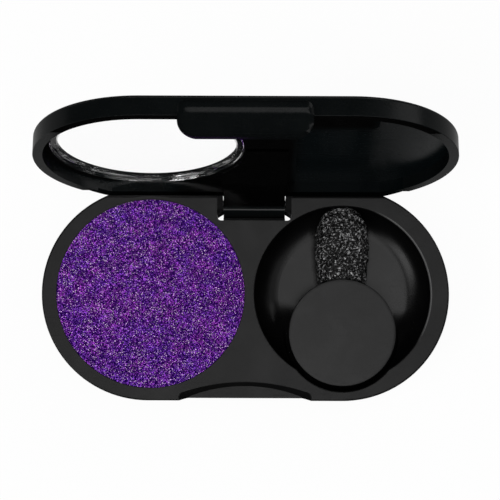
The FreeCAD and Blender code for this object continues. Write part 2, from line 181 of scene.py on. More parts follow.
def vector(tree, operation, a, b=(0.0, 0.0, 0.0)):
    """Vector of an operation on vectors, or its number where the operation gives one."""
    node = knot(tree, "ShaderNodeVectorMath", {0: a, 1: b}, operation=operation)
    return node.outputs["Value" if operation in ("DOT_PRODUCT", "DISTANCE", "LENGTH") else "Vector"]


def scaled(tree, a, factor):
    return knot(tree, "ShaderNodeVectorMath", {0: a, "Scale": factor}, operation="SCALE").outputs["Vector"]


def combined(tree, x, y=0.0):
    return knot(tree, "ShaderNodeCombineXYZ", {0: x, 1: y}).outputs[0]


def turned(tree, normal, from_space, to_space):
    """Normal carried between the world's directions and the piece's own."""
    return knot(tree, "ShaderNodeVectorTransform", {0: normal}, vector_type="NORMAL",
                convert_from=from_space, convert_to=to_space).outputs[0]


def blend_vectors(tree, share, first, second):
    """Vector between two; each is a socket or three numbers."""
    return knot(tree, "ShaderNodeMix", {0: share, 4: first, 5: second}, data_type="VECTOR").outputs[1]


def blend_colors(tree, share, first, second):
    """Colour between two; each is a socket or three numbers."""
    ends = [end if isinstance(end, bpy.types.NodeSocket) else (*end, 1) for end in (first, second)]
    return knot(tree, "ShaderNodeMix", {0: share, 6: ends[0], 7: ends[1]}, data_type="RGBA").outputs[2]


def mix_shaders(tree, share, first, second):
    return knot(tree, "ShaderNodeMixShader", {0: share, 1: first, 2: second}).outputs[0]


def bumped(tree, height, depth, strength=1.0):
    """Normal of a face with relief of a given depth."""
    bump = knot(tree, "ShaderNodeBump", {"Height": height, "Distance": depth, "Strength": strength})
    return bump.outputs[0]


def noise(tree, where, size, **inputs):
    """Noise whose features have a given size, which is a length or a socket that holds one."""
    scale = calc(tree, "DIVIDE", 1.0, size) if isinstance(size, bpy.types.NodeSocket) else 1 / size
    return knot(tree, "ShaderNodeTexNoise", {"Vector": where, "Scale": scale, **inputs}).outputs


def grains(tree, where, size):
    """Cells of a given size; each has a colour of its own."""
    cells = knot(tree, "ShaderNodeTexVoronoi", {"Vector": where, "Scale": 1 / size}, feature="F1")
    return cells.outputs["Color"]


NOISE_SPREAD = (0.3, 0.7)     # most of a noise lies between these values
NOISE_MIDDLE = 0.5


# Effects that several finishes share

SCUFF_TURNS = (math.radians(24), math.radians(-37))     # the two ways in which scuffs lie, about Z
SCUFF_TILT = (0.3, 0.5)                       # and their tilt about X and Y
SCUFF_STRETCH = (0.03, 1.0, 1.0)              # a small share draws the noise out into hairlines
SCUFF_BAND = (0.70, 0.78)                     # noise at which a scuff starts and is full
SMUDGE_BAND = (0.45, 0.75)                    # and a smudge
RUB_BAND = (0.98, 0.8)                        # cosines to the true normal at which rubbing starts and is full
RUB_PATCHES = (0.4, 0.65, 0.25, 1.0)          # range of noise, and the share of the rubbing that shows there


def make_moulding_group():
    """Fine spark-eroded grain of a mould and the slow cloudiness of a moulded face."""
    tree, given, out = new_group("moulding", {"Grain Size": 0.1 * MM, "Cloud Size": 4 * MM},
                                 ["Grain", "Cloud"])
    where = object_place(tree)
    tree.links.new(noise(tree, where, given["Grain Size"], Detail=2.0, Roughness=0.6)[0], out["Grain"])
    tree.links.new(noise(tree, where, given["Cloud Size"], Detail=3.0, Roughness=0.55)[0], out["Cloud"])
    return tree


def make_handling_group():
    """Hairline scuffs that lie two ways, and soft finger smudges."""
    tree, given, out = new_group("handling", {"Scuff Size": 0.2 * MM, "Smudge Size": 6 * MM},
                                 ["Scuffs", "Smudge"])
    where = object_place(tree)
    lines = []
    for turn in SCUFF_TURNS:
        lay = knot(tree, "ShaderNodeMapping", {"Vector": where, "Rotation": (*SCUFF_TILT, turn),
                                               "Scale": SCUFF_STRETCH}).outputs[0]
        hair = noise(tree, lay, given["Scuff Size"], Detail=1.0)[0]
        lines.append(remap(tree, hair, *SCUFF_BAND))
    smudge = noise(tree, where, given["Smudge Size"], Detail=2.0, Distortion=1.2)[0]
    tree.links.new(either(tree, *lines), out["Scuffs"])
    tree.links.new(remap(tree, smudge, *SMUDGE_BAND), out["Smudge"])
    return tree


def make_edge_group():
    """Where an edge has been rubbed: the rounded normal departs from the true one."""
    tree, given, out = new_group("edge rub", {"Radius": 0.2 * MM, "Patch Size": 2 * MM}, ["Edge"])
    soft = knot(tree, "ShaderNodeBevel", {"Radius": given["Radius"]}, samples=4).outputs[0]
    bare = remap(tree, vector(tree, "DOT_PRODUCT", soft, face_normal(tree)), *RUB_BAND)
    patch = noise(tree, object_place(tree), given["Patch Size"], Detail=3.0)[0]
    tree.links.new(product(tree, bare, remap(tree, patch, *RUB_PATCHES)), out["Edge"])
    return tree


MOULDING = make_moulding_group()
HANDLING = make_handling_group()
EDGE_RUB = make_edge_group()


# Finishes

def new_finish(name, **settings):
    """Material with a Principled shader, and that shader's plain values set."""
    material = bpy.data.materials.new(name)
    material.use_nodes = True
    shader = material.node_tree.nodes["Principled BSDF"]
    for key, value in settings.items():
        shader.inputs[key.replace("_", " ")].default_value = value
    return material, material.node_tree, shader


def feed(shader, **sockets):
    """Link sockets to a shader's inputs, whose names are written with underscores."""
    for key, socket in sockets.items():
        shader.id_data.links.new(socket, shader.inputs[key.replace("_", " ")])


def feeding(shader, name):
    """Socket that feeds one of a shader's inputs."""
    return shader.inputs[name].links[0].from_socket


RUB_SHARE = 0.35              # how far a rubbed edge goes to its paler tone
RUB_LIGHTENS = 3              # that tone as a multiple of the plain one
SCUFF_DULLS = 0.10
SMUDGE_SHINES = 0.05
SCUFF_DEPTH = 0.3             # depth of a scuff as a share of the grain's


def black_plastic(name, tones, roughness, specular, grain_size, grain_depth):
    """Moulded black plastic between two tones and two roughnesses, with grain, scuffs and rubbed edges."""
    material, tree, shader = new_finish(name, Specular_IOR_Level=specular)
    dark, pale = tones
    skin = place_group(tree, MOULDING, Grain_Size=grain_size, Cloud_Size=4.0 * MM)
    touch = place_group(tree, HANDLING, Scuff_Size=0.12 * MM, Smudge_Size=7.0 * MM)
    edge = place_group(tree, EDGE_RUB, Radius=0.2 * MM, Patch_Size=2.0 * MM)
    tone = blend_colors(tree, remap(tree, skin["Cloud"], *NOISE_SPREAD), dark, pale)
    worn = [RUB_LIGHTENS * part for part in pale]
    rubbed = blend_colors(tree, product(tree, edge["Edge"], RUB_SHARE), tone, worn)
    rough = remap(tree, skin["Grain"], *NOISE_SPREAD, *roughness)
    rough = calc(tree, "ADD", rough, product(tree, touch["Scuffs"], SCUFF_DULLS))
    rough = calc(tree, "SUBTRACT", rough, product(tree, touch["Smudge"], SMUDGE_SHINES))
    height = calc(tree, "SUBTRACT", skin["Grain"], product(tree, touch["Scuffs"], SCUFF_DEPTH))
    feed(shader, Base_Color=rubbed, Roughness=rough, Normal=bumped(tree, height, grain_depth))
    return material, tree, shader


def set_shading_normal(tree, shader, normal):
    """Normal that lies under a black plastic's bump."""
    tree.links.new(normal, feeding(shader, "Normal").node.inputs["Normal"])


# Tray; depths are below the deck
TRAY_TONES = ((0.0014, 0.0014, 0.0015), (0.0024, 0.0024, 0.0025))
POLISH_DEPTHS = (0.15 * MM, 0.5 * MM)         # the polish of the wells starts and is full at these
POLISH = 0.66                                 # roughness of a polished face as a share of the satin one's
RECESS_BACK = 1.5 * MM                        # the thumb recess ends this far behind the handle's front
RECESS_HALF = 9.4 * MM
RECESS_LEDGE = 2.9 * MM                       # depth past which the recess is its ledge
RECESS_SHADE = (0.0, -0.45, 0.9)              # shading normals that turn dark walls from every lamp
NOTCH_SHADE = (0.0, 0.26, 0.96)
NOTCH_FRONT = 10.3 * MM                       # the hinge notch: its front, and half its width
NOTCH_HALF = 5.4 * MM
NOTCH_DEPTH = 0.02 * MM                       # it is what lies deeper than this
PAN_LIP = 13.7 * MM                           # the lip round the pan is shaded as flat within this radius
PAN_LIP_DEPTH = 0.2 * MM                      # and down to this depth
BOWL_DEPTHS = (4.45 * MM, 4.1 * MM)           # where the bowl's floor is flat, and where its side starts
DISH_ACROSS = 0.006 / MM                      # how fast that floor is shaded as steeper to its sides
DISH_RISE = 0.42                              # and how steeply it rises towards the applicator's seat
DISH_SEAT = (-1.3 * MM, -3.9 * MM)            # between these places along Y
DISH_SKEW = 0.07                              # which lie further to the front on the right
BOWL_MOUTH = 12.45 * MM                       # radius of the bowl's rounded mouth
GLINT_HALF = 0.11 * MM                        # half the width of the glint on it
GLINT_WAY = (0.95, 0.31, 0.0)                 # from the bowl's axis to the middle of that glint
GLINT_SPREAD = (0.62, 0.80)                   # cosines to that way at which it starts and is full
# pale tone painted on that ring as a highlight
PAINTED_GLINT_TONE = (0.075, 0.075, 0.075)


def notch_mask(tree, place, deck_z):
    """Mask of the hinge notch with its knuckles."""
    from_pin = calc(tree, "SUBTRACT", place["X"], middle(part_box("hinge_pin")).x)
    return product(tree, above(tree, place["Y"], NOTCH_FRONT),
                   below(tree, calc(tree, "ABSOLUTE", from_pin), NOTCH_HALF),
                   below(tree, place["Z"], deck_z - NOTCH_DEPTH))


def pan_lip_mask(tree, place, deck_z):
    """Mask of the lip where the deck turns down to the pan."""
    pan_axis = (middle(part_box("powder_pan")).x, 0, 0)
    radius = vector(tree, "DISTANCE", combined(tree, place["X"], place["Y"]), pan_axis)
    return product(tree, below(tree, radius, PAN_LIP), above(tree, place["Z"], deck_z - PAN_LIP_DEPTH))


def bowl_dish(tree, place, deck_z, bowl_x):
    """Lean of the bowl's floor: towards its sides, and up to the applicator's seat."""
    flat, side = [deck_z - depth for depth in BOWL_DEPTHS]
    floor = product(tree, above(tree, place["X"], 0.0), remap(tree, place["Z"], flat, side, 1.0, 0.0))
    across = product(tree, calc(tree, "SUBTRACT", bowl_x, place["X"]), DISH_ACROSS)
    skew = product(tree, calc(tree, "SUBTRACT", place["X"], bowl_x), DISH_SKEW)
    along = remap(tree, calc(tree, "ADD", place["Y"], skew), *DISH_SEAT, 0.0, DISH_RISE)
    return combined(tree, product(tree, across, floor), product(tree, along, floor))


def painted_mouth_glint(tree, place, bowl_x):
    """Mask of the highlight painted on the right of the bowl's rounded mouth."""
    from_axis = vector(tree, "SUBTRACT", combined(tree, place["X"], place["Y"]), (bowl_x, 0, 0))
    ring = near(tree, vector(tree, "LENGTH", from_axis), BOWL_MOUTH, GLINT_HALF)
    toward = vector(tree, "DOT_PRODUCT", vector(tree, "NORMALIZE", from_axis), GLINT_WAY)
    return product(tree, ring, remap(tree, toward, *GLINT_SPREAD))


def tray_finish():
    """Satin deck, sides and thumb ledge; the walls and floors of the wells come off a polished mould."""
    material, tree, shader = black_plastic("satin_black_tray", TRAY_TONES, (0.42, 0.50), specular=0.175,
                                           grain_size=0.14 * MM, grain_depth=0.004 * MM)
    deck_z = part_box("base_tray")[1].z
    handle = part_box("applicator_handle")
    bowl_x = middle(handle).x
    place = axes_of(tree, object_place(tree))
    sunk = remap(tree, place["Z"], *[deck_z - depth for depth in POLISH_DEPTHS])
    recess = product(tree, below(tree, place["Y"], handle[0].y + RECESS_BACK),
                     below(tree, calc(tree, "ABSOLUTE", place["X"]), RECESS_HALF))
    ledge = product(tree, recess, below(tree, place["Z"], deck_z - RECESS_LEDGE))
    polished = product(tree, sunk, outside(tree, ledge))
    rough = product(tree, feeding(shader, "Roughness"), remap(tree, polished, 0.0, 1.0, 1.0, POLISH))
    feed(shader, Roughness=rough)

    # The recess's walls and the notch are dark, the pan's lip is flat, and the bowl's floor is dished
    normal = blend_vectors(tree, product(tree, recess, polished), face_normal(tree), RECESS_SHADE)
    normal = blend_vectors(tree, notch_mask(tree, place, deck_z), normal, NOTCH_SHADE)
    normal = blend_vectors(tree, pan_lip_mask(tree, place, deck_z), normal, (0.0, 0.0, 1.0))
    normal = vector(tree, "ADD", normal, bowl_dish(tree, place, deck_z, bowl_x))
    set_shading_normal(tree, shader, vector(tree, "NORMALIZE", normal))

    # Painted highlight: a pale tone on the right of the bowl's rounded mouth, at the deck's level only
    painted_glint = product(tree, painted_mouth_glint(tree, place, bowl_x), outside(tree, sunk))
    feed(shader, Base_Color=blend_colors(tree, painted_glint, feeding(shader, "Base Color"), PAINTED_GLINT_TONE))
    return material


# Lid as it stands open; heights and reaches are from the pin, along these two directions
LID_TONES = ((0.0018, 0.0025, 0.0027), (0.0028, 0.0036, 0.0038))
LID_LEAN = math.radians(15.3)                 # the open lid leans back this far past upright
LID_INWARD = Vector((0, -math.cos(LID_LEAN), math.sin(LID_LEAN)))     # out of the inner face: heights
LID_ALONG = Vector((0, math.sin(LID_LEAN), math.cos(LID_LEAN)))       # from hinge to thumb tab: reaches
INNER_FACE = 0.9                              # least cosine to inward on the inner face and the rim
FACES_INWARD = 0.5                            # and on a face that may be shaded as turned from the lamps
LID_FLOOR = -3.45 * MM                        # height of the inner face
LID_FLOOR_BAND = 0.12 * MM
LID_RIM = -1.65 * MM                          # height of the rim's face
LID_RIM_BAND = 0.1 * MM
HINGE_REACH = 2.0 * MM                        # near the hinge, up to this reach, the lid is painted nearly black as shade
RIM_REACH = 22.0 * MM                         # the rim is in the shade past this one
INSIDE_REACH = 26.0 * MM                      # the lid's inside ends here
TAB_REACH = 27.75 * MM                        # and the tab starts here
SHADE_FOOT = (20.0 * MM, 17.5 * MM)           # reaches at which the shade under the front wall fades
SHADE_END = (16.5 * MM, 19.0 * MM)            # and the places along X where it ends at the right
RIGHT_PART = (6.2 * MM, 8.0 * MM)             # where along X a part of the inside starts and is full
LEFT_PART = (-8.5 * MM, -10.5 * MM)
HINGE_PART = (-12.0 * MM, -9.0 * MM)
WIPED_PART = (15.0 * MM, 19.0 * MM)
LEAF_BARREL = 1.75 * MM                       # radius of the leaf round the pin
BARREL_FRONT = 12.3 * MM                      # only its front, before this Y, catches the light
BARREL_COAT = 0.18
WIPED_COAT = 0.14                             # gloss of the inner face's right end
COAT_ROUGHNESS = 0.25
# shade painted on the inside near the hinge
HINGE_SHADE_TONE = (0.0004, 0.0014, 0.0017)
# black painted as shade round the leaf, under the front wall, on the left and on the rim
SHADE_TONE = (0.0002, 0.0002, 0.0002)
# paler bluish tone painted right of the leaf as the inner face's reflection
PAINTED_REFLECTION_TONE = (0.0028, 0.0047, 0.0053)
LID_SHADE = (0.0, -0.5, 0.86)                 # shading normal that turns dark parts from every lamp
DEEP_SHADE = 0.6                              # least shade that takes it
DOME_RISE = (14.0 * MM, 17.0 * MM)            # the inner face is shaded as domed from here along X
DOME_FALL = (18.0 * MM, 24.0 * MM)            # and less so from here
LID_DOME = 0.28                               # how far that dome leans
DOME_LEFT = 0.15                              # share of it that is left at the right end
TAB_FLAT = (0.0, 0.26, 0.96)                  # shading normal of the tab's face
TAB_BEAD = (0.0, 0.50, 0.86)                  # and of the bead along its back, which mirrors a lamp
BEAD_FRONT = (21.55 * MM, 22.15 * MM)         # that bead's sides, along Y
BEAD_BACK = (22.70 * MM, 22.35 * MM)
BEAD_END = (-8.3 * MM, -7.0 * MM)             # and its left end, along X
BACK_CORNERS = (21.5 * MM, 22.0 * MM)         # the tab's ends catch the light at their corners, along Y
FRONT_CORNERS = (20.7 * MM, 20.2 * MM)
PLAIN_END = 0.2                               # how far the ends turn between those corners
TAB_EDGE = 19.42 * MM                         # where the tab rolls under, along Y


def lid_tones(tree, plain, place, height, reach, inner_face):
    """Tone of the lid's inside with its painted shade and painted reflection, the shade's mask, its gloss,
    and the mask of its inner face.
    """
    floor = product(tree, near(tree, height, LID_FLOOR, LID_FLOOR_BAND), inner_face)
    right = remap(tree, place["X"], *RIGHT_PART)
    left = remap(tree, place["X"], *LEFT_PART)
    upper = outside(tree, remap(tree, reach, *SHADE_FOOT))
    under_wall = product(tree, upper, remap(tree, place["X"], *SHADE_END, 1.0, 0.0))
    off_pin = vector(tree, "LENGTH", combined(tree, height, reach))
    barrel = product(tree, below(tree, off_pin, LEAF_BARREL), below(tree, place["Y"], BARREL_FRONT))
    inside = product(tree, above(tree, height, LID_FLOOR - LID_FLOOR_BAND), below(tree, reach, INSIDE_REACH),
                     outside(tree, barrel))

    # Painted shade: darkest round the leaf, under the front wall as far as the rounded end, and on the left
    round_leaf = product(tree, inside, outside(tree, left), outside(tree, right))
    dark_floor = product(tree, floor, either(tree, under_wall, left))
    rim = product(tree, near(tree, height, LID_RIM, LID_RIM_BAND), inner_face, above(tree, reach, RIM_REACH))
    shade = either(tree, round_leaf, either(tree, dark_floor, rim))
    # Painted reflection: a paler bluish tone on the inner face right of the leaf
    painted_reflection = product(tree, floor, right, outside(tree, under_wall))
    # Painted shade near the hinge
    hinge_shade = product(tree, inside, below(tree, reach, HINGE_REACH), remap(tree, place["X"], *HINGE_PART))
    tone = blend_colors(tree, hinge_shade, plain, HINGE_SHADE_TONE)
    tone = blend_colors(tree, shade, tone, SHADE_TONE)
    tone = blend_colors(tree, painted_reflection, tone, PAINTED_REFLECTION_TONE)
    wiped = product(tree, floor, remap(tree, place["X"], *WIPED_PART, 0.0, WIPED_COAT))
    return tone, shade, either(tree, product(tree, barrel, BARREL_COAT), wiped), floor


def tab_normal(tree, place, own_face):
    """Shading normal of the thumb tab: flat, with a bead along its back and light at its ends' corners."""
    bead = product(tree, remap(tree, place["Y"], *BEAD_FRONT), remap(tree, place["Y"], *BEAD_BACK),
                   remap(tree, place["X"], *BEAD_END))
    corners = either(tree, remap(tree, place["Y"], *BACK_CORNERS, PLAIN_END, 1.0),
                     remap(tree, place["Y"], *FRONT_CORNERS, PLAIN_END, 1.0))
    sideways = scaled(tree, vector(tree, "MULTIPLY", own_face, (1, 0, 0)), corners)
    profile = vector(tree, "ADD", blend_vectors(tree, bead, TAB_FLAT, TAB_BEAD), sideways)
    return blend_vectors(tree, below(tree, place["Y"], TAB_EDGE), profile, LID_SHADE)


def lid_finish():
    """Gloss black, with shade painted round the hinge leaf, a paler painted reflection right of it, and a
    bead along the tab.
    """
    material, tree, shader = black_plastic("gloss_black_lid", LID_TONES, (0.20, 0.28), specular=0.10,
                                           grain_size=0.30 * MM, grain_depth=0.002 * MM)
    where = object_place(tree)
    place = axes_of(tree, where)
    from_pin = vector(tree, "SUBTRACT", where, middle(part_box("hinge_pin")))
    height = vector(tree, "DOT_PRODUCT", from_pin, LID_INWARD)
    reach = vector(tree, "DOT_PRODUCT", from_pin, LID_ALONG)
    own_face = turned(tree, face_normal(tree), "WORLD", "OBJECT")
    inward = vector(tree, "DOT_PRODUCT", own_face, LID_INWARD)
    tone, shade, coat, floor = lid_tones(tree, feeding(shader, "Base Color"), place, height, reach,
                                         above(tree, inward, INNER_FACE))
    feed(shader, Base_Color=tone, Coat_Weight=coat)
    shader.inputs["Coat Roughness"].default_value = COAT_ROUGHNESS

    # Shading normals on the lid itself, so that they follow it when it swings
    deep = product(tree, above(tree, shade, DEEP_SHADE), above(tree, inward, FACES_INWARD))
    normal = blend_vectors(tree, deep, own_face, LID_SHADE)
    dome = product(tree, floor, remap(tree, place["X"], *DOME_RISE, 0.0, LID_DOME),
                   remap(tree, place["X"], *DOME_FALL, 1.0, DOME_LEFT))
    normal = vector(tree, "ADD", normal, combined(tree, dome))
    normal = blend_vectors(tree, above(tree, reach, TAB_REACH), normal, tab_normal(tree, place, own_face))
    set_shading_normal(tree, shader, turned(tree, normal, "OBJECT", "WORLD"))
    return material


HANDLE_TONES = ((0.0050, 0.0050, 0.0051), (0.0068, 0.0068, 0.0069))
HANDLE_FLATTENS = (0.15, 0.15, 1.0)           # shares of the normal that are left on its edge


def handle_finish():
    """Soft satin; its edge is too tightly rounded to shade off."""
    material, tree, shader = black_plastic("soft_black_handle", HANDLE_TONES, (0.36, 0.46), specular=0.18,
                                           grain_size=0.18 * MM, grain_depth=0.004 * MM)
    flat = vector(tree, "MULTIPLY", face_normal(tree), HANDLE_FLATTENS)
    set_shading_normal(tree, shader, vector(tree, "NORMALIZE", flat))
    return material


LENS_SEAT = 0.9 * MM          # width of the ring that lies on the lid's ledge
LENS_FADE = 0.2 * MM          # half the width over which that ring fades into the clear middle
LENS_BODY = 0.01              # how much of the clear middle shows
LENS_SCUFFS = 0.02
LENS_SMUDGES = 0.003


def window_finish():
    """Clear polished plastic; only the ring on its ledge and the bevel show as glass."""
    material, tree, shader = new_finish("clear_window", Transmission_Weight=1.0, IOR=1.49,
                                        Base_Color=(0.98, 0.985, 0.985, 1))
    touch = place_group(tree, HANDLING, Scuff_Size=0.10 * MM, Smudge_Size=5.0 * MM)
    rough = calc(tree, "ADD", product(tree, touch["Scuffs"], LENS_SCUFFS),
                 product(tree, touch["Smudge"], LENS_SMUDGES))
    low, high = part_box("lid_window")
    seat = (high.x - low.x) / 2 - LENS_SEAT
    radius = vector(tree, "DISTANCE", object_place(tree), middle((low, high)))
    body = remap(tree, radius, seat - LENS_FADE, seat + LENS_FADE, LENS_BODY, 1.0)
    feed(shader, Roughness=rough, Alpha=body)
    ray = knot(tree, "ShaderNodeLightPath").outputs
    clear = knot(tree, "ShaderNodeBsdfTransparent", {"Color": (0.95, 0.96, 0.96, 1)})
    surface = mix_shaders(tree, ray["Is Shadow Ray"], shader.outputs[0], clear.outputs[0])
    tree.links.new(surface, tree.nodes["Material Output"].inputs["Surface"])
    return material


POWDER_DARK = (0.008, 0.0003, 0.050)
POWDER_BLUE = (0.35, 0.085, 0.90)
POWDER_MAGENTA = (0.56, 0.090, 0.86)
SPARKLE = (0.88, 0.60, 1.0)
GRAIN = 0.10 * MM
GRAIN_CONTRAST = 5.0          # power that leaves only a few of the grains bright
GRAIN_TILT = 0.7
GRAIN_SHINE = (0.3, 0.6)      # least and most roughness of a grain
SPARKLE_GRAIN = 0.09 * MM
SPARKLE_SHARE = 0.075
CLOUD_SIZE = 1.6 * MM         # patches that are darker or brighter
CLOUD_RANGE = (0.34, 0.66, 0.55, 1.45)        # range of their noise, and the brightness that it gives
DRIFT_SIZE = 2.3 * MM         # patches that are bluer or redder
DRIFT_SPREAD = (0.38, 0.62)


def powder_finish():
    """Pressed glitter: violet grains of every brightness, each tilted its own way, and pale sparkles."""
    material, tree, shader = new_finish("violet_glitter_powder", Specular_IOR_Level=0.0, Metallic=0.25)
    where = object_place(tree)
    grain = grains(tree, where, GRAIN)
    chance = knot(tree, "ShaderNodeSeparateColor", {0: grain}).outputs
    cloud = noise(tree, where, CLOUD_SIZE, Detail=3.0)[0]
    drift = noise(tree, where, DRIFT_SIZE, Detail=3.0, Roughness=0.7)[0]
    hue = blend_colors(tree, remap(tree, drift, *DRIFT_SPREAD), POWDER_BLUE, POWDER_MAGENTA)
    bright = product(tree, calc(tree, "POWER", chance[0], GRAIN_CONTRAST), remap(tree, cloud, *CLOUD_RANGE))
    spark = knot(tree, "ShaderNodeSeparateColor", {0: grains(tree, where, SPARKLE_GRAIN)}).outputs
    flash = product(tree, below(tree, spark[1], SPARKLE_SHARE), spark[0])
    tone = blend_colors(tree, bright, POWDER_DARK, hue)
    tone = blend_colors(tree, flash, tone, SPARKLE)
    lean = scaled(tree, vector(tree, "SUBTRACT", grain, [NOISE_MIDDLE] * 3), GRAIN_TILT)
    tilted = vector(tree, "NORMALIZE", vector(tree, "ADD", face_normal(tree), lean))
    feed(shader, Base_Color=tone, Roughness=remap(tree, chance[1], 0.0, 1.0, *GRAIN_SHINE), Normal=tilted)
    return material


FOAM_BEND = 0.8 * MM          # size of the bends in the foam's ridges, and how far they reach
FOAM_STRETCH = (0.75, 1.1, 1.0)
FOAM_RIDGE = 0.54 * MM
RIDGE_WIDTH = 0.08            # half a ridge's width, as a step of its noise
PAINTED_GLINT_GRAINS = (0.40, 0.60)                  # grain at which a ridge's painted glint starts, and is full
PAINTED_GLINT_CONTRAST = 1.7
FACES_UP = (0.15, 0.75, 0.1, 1.0)             # how far a face looks up, and the share of the painted glint that it gets
FOAM_DARK = (0.001, 0.001, 0.001)
# pale tone painted on as glints
FOAM_PAINTED_GLINT = (0.68, 0.68, 0.69)
FOAM_ROUGHNESS = (0.22, 0.40)
FOAM_GRAIN_HEIGHT = 1.2       # height of the foam's grain as a multiple of a ridge's
FOAM_RELIEF = 0.22 * MM


def foam_finish():
    """Crinkled black foam skin: bent ridges between dark creases, with pale glints painted on their tops here
    and there.
    """
    material, tree, shader = new_finish("crinkled_black_foam", Specular_IOR_Level=0.22)
    skin = place_group(tree, MOULDING, Grain_Size=0.30 * MM, Cloud_Size=1.4 * MM)
    where = object_place(tree)
    pull = scaled(tree, noise(tree, where, FOAM_BEND, Detail=2.0)["Color"], FOAM_BEND)
    crumpled = vector(tree, "MULTIPLY", vector(tree, "ADD", where, pull), FOAM_STRETCH)
    swell = noise(tree, crumpled, FOAM_RIDGE, Detail=1.5, Roughness=0.6)[0]
    from_crest = calc(tree, "ABSOLUTE", calc(tree, "SUBTRACT", swell, NOISE_MIDDLE))
    ridge = remap(tree, from_crest, RIDGE_WIDTH, 0.0)
    # Painted glints: a pale tone on some ridges, more where a face looks up
    ridge_painted_glint = product(tree, ridge, remap(tree, skin["Grain"], *PAINTED_GLINT_GRAINS))
    upward = axes_of(tree, face_normal(tree))["Z"]
    ridge_painted_glint = product(tree, calc(tree, "POWER", ridge_painted_glint, PAINTED_GLINT_CONTRAST), remap(tree, upward, *FACES_UP))
    tone = blend_colors(tree, ridge_painted_glint, FOAM_DARK, FOAM_PAINTED_GLINT)
    height = calc(tree, "ADD", ridge, product(tree, skin["Grain"], FOAM_GRAIN_HEIGHT))
    rough = remap(tree, skin["Grain"], *NOISE_SPREAD, *FOAM_ROUGHNESS)
    feed(shader, Base_Color=tone, Roughness=rough, Normal=bumped(tree, height, FOAM_RELIEF))
    return material


METAL_DULLS = 0.85            # darkest tone of a metal as a share of its brightest
METAL_SCUFFS = 0.15


def metal_finish(name, color, roughness):
    """Drawn or pressed metal with fine scratches."""
    material, tree, shader = new_finish(name, Metallic=1.0)
    skin = place_group(tree, MOULDING, Grain_Size=0.08 * MM, Cloud_Size=2.0 * MM)
    touch = place_group(tree, HANDLING, Scuff_Size=0.06 * MM, Smudge_Size=3.0 * MM)
    tone = blend_colors(tree, skin["Cloud"], [METAL_DULLS * part for part in color], color)
    rough = calc(tree, "ADD", remap(tree, skin["Grain"], *NOISE_SPREAD, *roughness),
                 product(tree, touch["Scuffs"], METAL_SCUFFS))
    feed(shader, Base_Color=tone, Roughness=rough)
    return material


def adhesive_finish():
    """Milky double-sided tape."""
    material, tree, shader = new_finish("milky_adhesive", Roughness=0.5)
    skin = place_group(tree, MOULDING, Grain_Size=0.2 * MM, Cloud_Size=1.5 * MM)
    tone = blend_colors(tree, skin["Cloud"], (0.70, 0.69, 0.64), (0.85, 0.84, 0.80))
    feed(shader, Base_Color=tone, Normal=bumped(tree, skin["Grain"], depth=0.02 * MM, strength=0.5))
    return material


def paint(piece, material):
    piece.data.materials.clear()
    piece.data.materials.append(material)


# Soft and loose pieces

WELD = 0.002 * MM             # points nearer than this are one


def copy_of_solid(node, name):
    """New piece with the closed, merged form of a CAD solid."""
    bpy.ops.object.select_all(action="DESELECT")
    source = frame["nodes"][node]
    source.select_set(True)
    bpy.context.view_layer.objects.active = source
    bpy.ops.object.duplicate()
    piece = bpy.context.object
    piece.name = name
    piece.data.name = name
    piece.parent = None
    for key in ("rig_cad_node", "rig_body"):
        del piece[key]
    bpy.ops.object.mode_set(mode="EDIT")
    bpy.ops.mesh.select_all(action="SELECT")
    bpy.ops.mesh.remove_doubles(threshold=WELD)
    bpy.ops.object.mode_set(mode="OBJECT")
    return piece


def finish_modifier(piece, kind, **settings):
    modifier = piece.modifiers.new(kind.lower(), kind)
    for key, value in settings.items():
        setattr(modifier, key, value)
    bpy.context.view_layer.objects.active = piece
    bpy.ops.object.modifier_apply(modifier=modifier.name)


def wrinkle_texture(name, kind, size, **settings):
    texture = bpy.data.textures.new(name, kind)
    texture.noise_scale = size
    for key, value in settings.items():
        setattr(texture, key, value)
    return texture


SPONGE_SWELL = 1.03           # the foam presses a little nearer to the bowl's wall than its plain solid
SPONGE_VOXEL = 0.09 * MM
SPONGE_FOLDS = (1.1 * MM, 0.35 * MM)          # size and height of the foam's folds
SPONGE_CELLS = (0.75 * MM, 0.30 * MM)         # and of its cells
SPONGE_FACE = 0.35            # level of both that lies on the solid's face


def make_sponge():
    """Foam tip: the solid's form with a crinkled skin of swollen cells between creases."""
    sponge = copy_of_solid("sponge_tip", "sponge")
    root = (0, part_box("sponge_tip")[0].y, 0)
    bpy.ops.object.mode_set(mode="EDIT")
    bpy.ops.transform.resize(value=(1.0, SPONGE_SWELL, 1.0), center_override=root)
    bpy.ops.object.mode_set(mode="OBJECT")
    finish_modifier(sponge, "REMESH", mode="VOXEL", voxel_size=SPONGE_VOXEL)
    finish_modifier(sponge, "SMOOTH", factor=0.5, iterations=4)
    cells = wrinkle_texture("foam_cells", "VORONOI", SPONGE_CELLS[0], weight_1=-1.0, weight_2=1.0)
    folds = wrinkle_texture("foam_folds", "CLOUDS", SPONGE_FOLDS[0], noise_depth=2)
    for texture, height in ((folds, SPONGE_FOLDS[1]), (cells, SPONGE_CELLS[1])):
        finish_modifier(sponge, "DISPLACE", texture=texture, texture_coords="LOCAL", strength=height,
                        mid_level=SPONGE_FACE)
    bpy.ops.object.shade_smooth()
    paint(sponge, foam_finish())
    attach(sponge, "applicator")
    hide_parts("sponge_tip")


